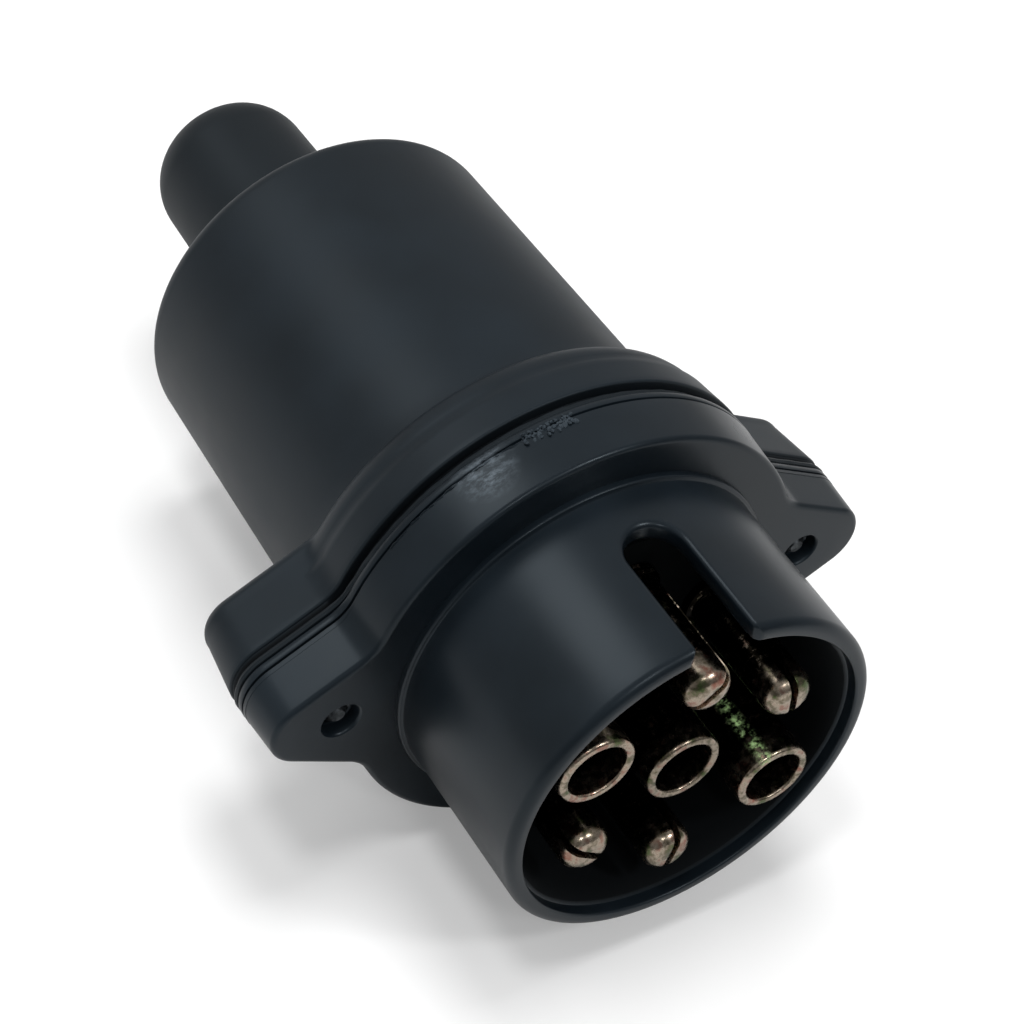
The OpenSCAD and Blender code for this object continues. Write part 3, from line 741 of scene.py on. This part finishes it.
# Each sleeve: its angle, its distance, and where its rim and its back end stand along Y
SLEEVES = {"sleeve_centre": (0, 0.0, 1.6, 45.0), "sleeve_lower_right": (120, 13.8, 0.7, 38.5),
           "sleeve_upper_left": (300, 13.8, 0.7, 38.5)}
PIN_R, DOME_R, PIN_TIP_Y, PIN_STEP_Y, PIN_END_Y = 2.8, 1.7, 0.3, 15, 38.5
SAW_W, SAW_LEN, SAW_END_Y, SAWN_EDGE = 0.85, 14, 12.5, 0.09
SLEEVE_R, SLEEVE_HOLE_R, SLEEVE_HOLE_DEPTH = 4.35, 3.3, 14.5
COLLAR_Y, COLLAR_END_Y, PIN_COLLAR_R, SLEEVE_COLLAR_R = 24.5, 26.0, 3.95, 5.0
BARREL_R, WIRE_R, WIRE_DEPTH = 3.3, 1.7, 8


def spot(angle, reach):
    """Where a contact stands, as (x, z)."""
    a = math.radians(angle)
    return reach * math.sin(a), reach * math.cos(a)


def back_end(end):
    """The end of a profile: a barrel with a hole for the wire."""
    return [(BARREL_R, COLLAR_END_Y), (BARREL_R, end), (WIRE_R, end), (WIRE_R, end - WIRE_DEPTH),
            (0, end - WIRE_DEPTH)]


print("contacts:", len(PINS), "pins and", len(SLEEVES), "sleeves")


# %% Pins
def saw_tool(at, angle):
    bm = bmesh.new()
    bmesh.ops.create_cube(bm, size=1)
    size = Matrix.Diagonal((10 * MM, SAW_LEN * MM, SAW_W * MM, 1))
    turn = Matrix.Rotation(math.radians(-angle), 4, "Y")
    place = Matrix.Translation(Vector((at[0], SAW_END_Y - SAW_LEN / 2, at[1])) * MM)
    bmesh.ops.transform(bm, matrix=size, verts=bm.verts)
    bmesh.ops.transform(bm, matrix=place @ turn, verts=bm.verts)
    return new_object("saw_tool", bm)


def break_edges(piece, width):
    """A small bevel on every sharp edge, as tumbling leaves on sawn brass."""
    m = piece.modifiers.new("bevel", "BEVEL")
    m.width = width * MM
    m.segments = 2
    m.limit_method = "ANGLE"
    m.angle_limit = math.radians(50)
    bake(piece)


def pin(name, angle, reach, sawn):
    at = spot(angle, reach)
    dome = arc(PIN_R - DOME_R, PIN_TIP_Y + DOME_R, DOME_R, DOME_R, 270, 360, 15)
    shank = [(PIN_R, 6), (PIN_R, 10), (PIN_R, PIN_STEP_Y - 0.1), (BARREL_R, PIN_STEP_Y + 0.1),
             (BARREL_R, COLLAR_Y)]
    collar = [(PIN_COLLAR_R, COLLAR_Y), (PIN_COLLAR_R, COLLAR_END_Y)]
    profile = [(0, PIN_TIP_Y)] + dome + shank + collar + back_end(PIN_END_Y)
    made = new_object(name + "_turning", turned(profile, 72, at))
    cut(made, [saw_tool(at, sawn)])
    break_edges(made, SAWN_EDGE)
    finish_piece(made, brass, "plug", [name])


for name, (angle, reach, sawn) in PINS.items():
    pin(name, angle, reach, sawn)


# %% Sleeves
def sleeve(name, angle, reach, rim, end):
    floor_y = rim + SLEEVE_HOLE_DEPTH
    profile = [(SLEEVE_HOLE_R, floor_y), (SLEEVE_HOLE_R, rim + 0.6)]
    profile += arc(SLEEVE_HOLE_R + 0.35, rim + 0.35, 0.35, 0.35, 180, 270, 6)
    profile += arc(SLEEVE_R - 0.5, rim + 0.5, 0.5, 0.5, 270, 360, 6)
    profile += [(SLEEVE_R, COLLAR_Y), (SLEEVE_COLLAR_R, COLLAR_Y)]
    profile += [(SLEEVE_COLLAR_R, COLLAR_END_Y)] + back_end(end) + [(0, floor_y)]
    made = new_object(name + "_turning", turned(profile, 96, spot(angle, reach), ring=True))
    finish_piece(made, brass, "plug", [name])


for name, (angle, reach, rim, end) in SLEEVES.items():
    sleeve(name, angle, reach, rim, end)

# %% [markdown]
# ## Ear screws
# Two pan head screws come from behind, sit in wells in the cover's ears and bite into the front
# shell. A thread is one small profile swept along a helix, so Geometry Nodes makes it: a Spiral
# curve, a three-sided profile and Curve to Mesh. The head and core are turned first and go into the
# tree as its geometry.

# %% Starting, ending and running a tree
def tree_input(tree, name, kind):
    return tree.interface.new_socket(name, in_out="INPUT", socket_type=kind)


def start_tree(name, sizes):
    tree = bpy.data.node_groups.new(name, "GeometryNodeTree")
    tree_input(tree, "Geometry", "NodeSocketGeometry")
    tree.interface.new_socket("Geometry", in_out="OUTPUT", socket_type="NodeSocketGeometry")
    for size, kind in sizes.items():
        tree_input(tree, size, kind)
    tree_input(tree, "Finish", "NodeSocketMaterial")
    return tree, tree.nodes.new("NodeGroupInput").outputs


def join(tree, pieces):
    made = tree.nodes.new("GeometryNodeJoinGeometry")
    for piece in pieces:
        tree.links.new(piece, made.inputs[0])
    return made.outputs[0]


def end_tree(tree, geometry, finish):
    real = add(tree, "GeometryNodeRealizeInstances", geometry=geometry).outputs[0]
    painted = add(tree, "GeometryNodeSetMaterial", geometry=real, material=finish).outputs[0]
    end = tree.nodes.new("NodeGroupOutput")
    tree.links.new(painted, end.inputs[0])
    print(tree.name, "tree:", len(tree.nodes), "nodes")


def grow(piece, tree, sizes):
    """Runs a tree on a piece, with its inputs set by identifier, and keeps what it makes."""
    m = piece.modifiers.new("grow", "NODES")
    m.node_group = tree
    for item in tree.interface.items_tree:
        if item.item_type == "SOCKET" and item.in_out == "INPUT" and item.name in sizes:
            m[item.identifier] = sizes[item.name]
    bake(piece)


# %% Thread by Geometry Nodes
def thread_tree():
    tree, given = start_tree("screw_thread", {
        "Turns": "NodeSocketFloat", "Length": "NodeSocketFloat", "Core Radius": "NodeSocketFloat",
        "Crest": "NodeSocketFloat", "Start": "NodeSocketVector"})
    helix = add(tree, "GeometryNodeCurveSpiral", resolution=40, rotations=given["Turns"],
                start_radius=given["Core Radius"], end_radius=given["Core Radius"],
                height=given["Length"]).outputs[0]
    upright = add(tree, "GeometryNodeSetCurveNormal", {"mode": "Z_UP"}, curve=helix).outputs[0]
    profile = add(tree, "GeometryNodeCurvePrimitiveCircle", {"mode": "RADIUS"}, resolution=3,
                  radius=given["Crest"]).outputs[0]
    ridge = add(tree, "GeometryNodeCurveToMesh", curve=upright, profile_curve=profile,
                fill_caps=True).outputs[0]
    along_y = add(tree, "GeometryNodeTransform", geometry=ridge, translation=given["Start"],
                  rotation=(-math.pi / 2, 0, 0)).outputs[0]
    end_tree(tree, join(tree, [given["Geometry"], along_y]), given["Finish"])
    return tree


thread = thread_tree()

# %% Ear screws
TIP_Y, HEAD_Y, HEAD_R, HEAD_T, HEAD_SIDE = 22.5, 36.05, 3.4, 2.15, 0.7
CORE_R, SHANK_R, THREAD_END_Y = 1.4, 1.7, 31
CREST, THREAD_TURNS, THREAD_LEN = 0.34, 10.0, 7.6


def recess_wing(x0, angle):
    """One bar of the cross recess: its length and width shrink towards its floor."""
    turn = math.radians(angle)
    floor_bar, mouth_bar = (1.9, HEAD_Y + HEAD_T - 1.4, 0.4), (4.0, HEAD_Y + HEAD_T + 0.2, 1.0)
    loops = []
    for length, y, width in (floor_bar, mouth_bar):
        a, b = length / 2, width / 2
        loops.append([(x0 + x * math.cos(turn) - z * math.sin(turn), y,
                       x * math.sin(turn) + z * math.cos(turn))
                      for x, z in ((-a, -b), (a, -b), (a, b), (-a, b))])
    return new_object("recess_tool", skin(loops))


def ear_screw(name, side):
    x0 = side * SCREW_X
    profile = [(0, TIP_Y), (0.75, TIP_Y), (CORE_R, TIP_Y + 0.7), (CORE_R, THREAD_END_Y),
               (SHANK_R, THREAD_END_Y + 0.3), (SHANK_R, HEAD_Y)]
    profile += [(HEAD_R - 0.1, HEAD_Y), (HEAD_R, HEAD_Y + 0.1), (HEAD_R, HEAD_Y + HEAD_SIDE)]
    profile += arc(0, HEAD_Y + HEAD_SIDE, HEAD_R, HEAD_T - HEAD_SIDE, 0, 90, 12)[1:]
    made = new_object(name + "_turning", turned(profile, 64, (x0, 0)))
    cut(made, [recess_wing(x0, 0), recess_wing(x0, 90)])
    grow(made, thread, {"Turns": THREAD_TURNS, "Length": THREAD_LEN * MM,
                        "Core Radius": CORE_R * MM, "Crest": CREST * MM,
                        "Start": Vector((x0, TIP_Y + 0.8, 0)) * MM, "Finish": dark_steel})
    finish_piece(made, dark_steel, name, [name])


ear_screw("ear_screw_left", -1)
ear_screw("ear_screw_right", 1)


# %% [markdown]
# ## Flash on the seam
# Where the mould's halves met, a little plastic crept out: a ragged thread of flash along the
# flange's rear edge, and one short stretch where it tore and left whitened crumbs. Geometry Nodes
# follow the edge with an arc, roughen it with noise, and scatter low-poly crumbs with a fixed seed.
# Modelled by hand, the crumbs would take hours and look too regular.

# %% Flash by Geometry Nodes
def ragged_thread(tree, edge, radius):
    here = add(tree, "GeometryNodeInputPosition").outputs[0]
    rough = add(tree, "ShaderNodeTexNoise", scale=per_mm(0.9), detail=3.0, vector=here)
    middle = add(tree, "ShaderNodeVectorMath", {"operation": "SUBTRACT"},
                 vector=rough.outputs["Color"], vector_2=(0.5, 0.5, 0.5)).outputs[0]
    push = add(tree, "ShaderNodeVectorMath", {"operation": "SCALE"}, vector=middle, scale=0.5 * MM)
    ragged = add(tree, "GeometryNodeSetPosition", geometry=edge, offset=push.outputs[0]).outputs[0]
    profile = add(tree, "GeometryNodeCurvePrimitiveCircle", {"mode": "RADIUS"}, resolution=5,
                  radius=radius).outputs[0]
    return add(tree, "GeometryNodeCurveToMesh", curve=ragged, profile_curve=profile,
               fill_caps=True).outputs[0]


def strewn_crumbs(tree, edge, count, size, seed):
    dots = add(tree, "GeometryNodeCurveToPoints", {"mode": "COUNT"}, curve=edge, count=count)
    stray = add(tree, "FunctionNodeRandomValue", {"data_type": "FLOAT_VECTOR"},
                min=(-1.0, -1.0, -1.0), max=(1.0, 1.0, 1.0), seed=seed).outputs[0]
    aside = add(tree, "ShaderNodeVectorMath", {"operation": "MULTIPLY"}, vector=stray,
                vector_2=(0.3 * MM, 0.1 * MM, 0.75 * MM)).outputs[0]
    strewn = add(tree, "GeometryNodeSetPosition", geometry=dots.outputs[0], offset=aside)
    crumb = add(tree, "GeometryNodeMeshIcoSphere", radius=size, subdivisions=1).outputs[0]
    shapes = add(tree, "FunctionNodeRandomValue", {"data_type": "FLOAT_VECTOR"},
                 min=(0.35, 0.35, 0.35), max=(1.2, 0.9, 1.2), seed=seed).outputs[0]
    return add(tree, "GeometryNodeInstanceOnPoints", points=strewn.outputs[0], instance=crumb,
               rotation=stray, scale=shapes).outputs[0]


def flash_tree():
    tree, given = start_tree("seam_flash", {
        "Radius": "NodeSocketFloat", "Edge Y": "NodeSocketFloat", "Start Angle": "NodeSocketFloat",
        "Sweep": "NodeSocketFloat", "Crumbs": "NodeSocketInt", "Crumb Size": "NodeSocketFloat",
        "Thread": "NodeSocketFloat", "Seed": "NodeSocketInt"})
    edge = add(tree, "GeometryNodeCurveArc", {"mode": "RADIUS"}, resolution=160,
               radius=given["Radius"], start_angle=given["Start Angle"],
               sweep_angle=given["Sweep"]).outputs[0]
    string = ragged_thread(tree, edge, given["Thread"])
    crumbs = strewn_crumbs(tree, edge, given["Crumbs"], given["Crumb Size"], given["Seed"])
    level = add(tree, "ShaderNodeCombineXYZ", y=given["Edge Y"]).outputs[0]
    upright = add(tree, "GeometryNodeTransform", geometry=join(tree, [string, crumbs]),
                  translation=level, rotation=(math.pi / 2, 0, 0)).outputs[0]
    end_tree(tree, upright, given["Finish"])
    return tree


flash = flash_tree()

# %% Two stretches of flash
FLASH_Y, SUNK, CRUMB_SIZE, SEED = 27.5, 0.08, 0.32, 7
# Each stretch: where it starts and how far it goes in degrees, its crumbs, its thread's radius
STRETCHES = {"seam_flash_crumbs": (93.5, 12, 75, 0.1, whitened),
             "seam_flash_thread": (105, 37, 0, 0.12, front_abs)}

for name, (start, sweep, crumbs, thread_r, finish) in STRETCHES.items():
    piece = new_object(name, bmesh.new())
    grow(piece, flash, {"Radius": (FLANGE_R - SUNK) * MM, "Edge Y": FLASH_Y * MM,
                        "Start Angle": math.radians(start), "Sweep": math.radians(sweep),
                        "Crumbs": crumbs, "Crumb Size": CRUMB_SIZE * MM,
                        "Thread": thread_r * MM, "Seed": SEED, "Finish": finish})
    finish_piece(piece, finish, "plug", [])

# %% [markdown]
# ## Pieces that keep their CAD shape
# The carrier, the terminal plate, the clamp and its screws are hidden in the cover or deep in the
# mouth. Their exact shapes are enough, so they only get a finish. The nodes that the pieces above
# replace aren't shown, and get the shell's.

# %% Finishes of the CAD shapes
for name, node in NODES.items():
    if name in ("contact_carrier", "terminal_plate", "clamp_bar"):
        finish = insulator_in_painted_shade
    elif "screw" in name:
        finish = steel
    else:
        finish = front_abs
    node.data.materials.clear()
    node.data.materials.append(finish)
print("finished CAD shapes:", len(NODES))

# %% [markdown]
# ## Studio
# The plug lies on white paper. The paper glows a little for the camera alone, which makes it white
# without more light on the plug, and it looks darker in reflections, which keeps the black plastic
# black.

# %% Floor
FLOOR_Z = -(FLANGE_R + 0.05) * MM
FLOOR_HALF = 1.5
PAPER, PAPER_MIRRORED, GLOW = "#dddddd", "#cecece", 0.25


def white_paper():
    paper = bpy.data.materials.new("white_paper")
    paper.use_nodes = True
    tree = paper.node_tree
    tree.nodes.clear()
    ray = add(tree, "ShaderNodeLightPath").outputs
    pale = add(tree, "ShaderNodeMix", {"data_type": "RGBA"}, factor=ray["Is Glossy Ray"],
               a=colour(PAPER), b=colour(PAPER_MIRRORED)).outputs["Result"]
    matt = add(tree, "ShaderNodeBsdfDiffuse", color=pale)
    glow = add(tree, "ShaderNodeEmission", color=WHITE, strength=GLOW)
    nothing = add(tree, "ShaderNodeEmission", strength=0.0)
    choice = add(tree, "ShaderNodeMixShader", fac=ray["Is Camera Ray"], shader=nothing.outputs[0],
                 shader_2=glow.outputs[0])
    both = add(tree, "ShaderNodeAddShader", shader=matt.outputs[0], shader_2=choice.outputs[0])
    add(tree, "ShaderNodeOutputMaterial", surface=both.outputs[0])
    return paper


bm = bmesh.new()
bmesh.ops.create_grid(bm, x_segments=1, y_segments=1, size=FLOOR_HALF)
floor = new_object("floor", bm)
floor.location = (0, 0, FLOOR_Z)
floor.data.materials.append(white_paper())
print("floor at", round(FLOOR_Z / MM, 2), "mm")

# %% [markdown]
# Five round area lamps light the plug. The key and the fill come from above and give the shapes and
# the shadow. They are kept out of reflections, because each would leave a hard bright disc on the
# plastic. The softbox behind on the left draws the broad highlights along the nose and the cover.
# The two glints in front are small: one sparkles on the contacts, and the other draws a fine line
# along rounded edges.

# %% Lamps
# Each lamp: its place, what it points at, its diameter, its power, and whether reflections show it
LAMPS = {
    "key": ((-0.21, -0.07, 0.69), (0, 0.03, 0), 0.12, 1.2, False),
    "fill": ((0.05, 0.1, 0.8), (0, 0.03, 0), 0.3, 3.1, False),
    "softbox": ((-0.29, 0.42, 0.62), (0, 0.03, 0), 0.36, 0.85, True),
    "glint": ((-0.12, -0.3, 0.4), (0, 0, 0), 0.06, 0.2, True),
    "edge_glint": ((0.16, -0.29, 0.375), (0, 0.02, 0.02), 0.07, 0.45, True),
}

for name, (place, aim, size, power, mirrored) in LAMPS.items():
    data = bpy.data.lights.new(name, "AREA")
    data.shape = "DISK"
    data.size = size
    data.energy = power
    lamp = bpy.data.objects.new(name, data)
    bpy.context.scene.collection.objects.link(lamp)
    lamp.location = place
    lamp.rotation_euler = (Vector(aim) - Vector(place)).to_track_quat("-Z", "Y").to_euler()
    lamp.visible_glossy = mirrored
    print(f"{name}: {power} W from {(Vector(place) - Vector(aim)).length:.2f} m")

# %% [markdown]
# The world is white to the camera. To the plug it is a dim room, brighter overhead than at the
# horizon and darker in front than behind, so that the nose's face and the mouth stay dark.

# %% World
world = bpy.data.worlds.new("studio")
bpy.context.scene.world = world
world.use_nodes = True
tree = world.node_tree
tree.nodes.clear()
ray = add(tree, "ShaderNodeLightPath").outputs
seen = add(tree, "ShaderNodeMath", {"operation": "MAXIMUM"}, value=ray["Is Camera Ray"],
           value_2=ray["Is Transmission Ray"])
white = add(tree, "ShaderNodeBackground", color=WHITE, strength=1.0)
around = add(tree, "ShaderNodeTexCoord").outputs["Generated"]
way = add(tree, "ShaderNodeSeparateXYZ", vector=around).outputs
height = add(tree, "ShaderNodeMapRange", value=way[2], from_min=0.0, from_max=0.8,
             to_min=0.32, to_max=0.6)
behind = add(tree, "ShaderNodeMapRange", value=way[1], from_min=-0.5, from_max=0.3,
             to_min=0.45, to_max=1.0)
sky = add(tree, "ShaderNodeMath", {"operation": "MULTIPLY"}, value=height.outputs[0],
          value_2=behind.outputs[0])
dim = add(tree, "ShaderNodeBackground", color=WHITE, strength=sky.outputs[0])
mix = add(tree, "ShaderNodeMixShader", fac=seen.outputs[0], shader=dim.outputs[0],
          shader_2=white.outputs[0])
add(tree, "ShaderNodeOutputWorld", surface=mix.outputs[0])
print("world:", len(tree.nodes), "nodes")

# %% [markdown]
# The camera looks down into the mouth from the front and the left. A long lens keeps the far boot
# nearly as wide as it would look close up. The camera is rolled a little, so the plug lies across
# the view from corner to corner.

# %% Camera
CAMERA_AT = Vector((-117.288, -118.884, 201.018))
CAMERA_LOOK = Vector((0.42270, 0.56198, -0.71099)).normalized()
ROLL = math.radians(9.218)
LENS, SENSOR = 90.936, 36

level = CAMERA_LOOK.cross(Vector((0, 0, 1))).normalized()
upward = level.cross(CAMERA_LOOK)
right = math.cos(ROLL) * level + math.sin(ROLL) * upward
up = math.cos(ROLL) * upward - math.sin(ROLL) * level
turn = Matrix((right, up, -CAMERA_LOOK)).transposed().to_4x4()
camera = bpy.data.objects.new("camera", bpy.data.cameras.new("camera"))
bpy.context.scene.collection.objects.link(camera)
camera.matrix_world = Matrix.Translation(CAMERA_AT * MM) @ turn
camera.data.lens = LENS
camera.data.sensor_width = SENSOR
camera.data.clip_start = 0.01
camera.data.clip_end = 10
bpy.context.scene.camera = camera
bpy.context.scene.view_settings.view_transform = "Standard"
print("camera at", tuple(CAMERA_AT), "mm")
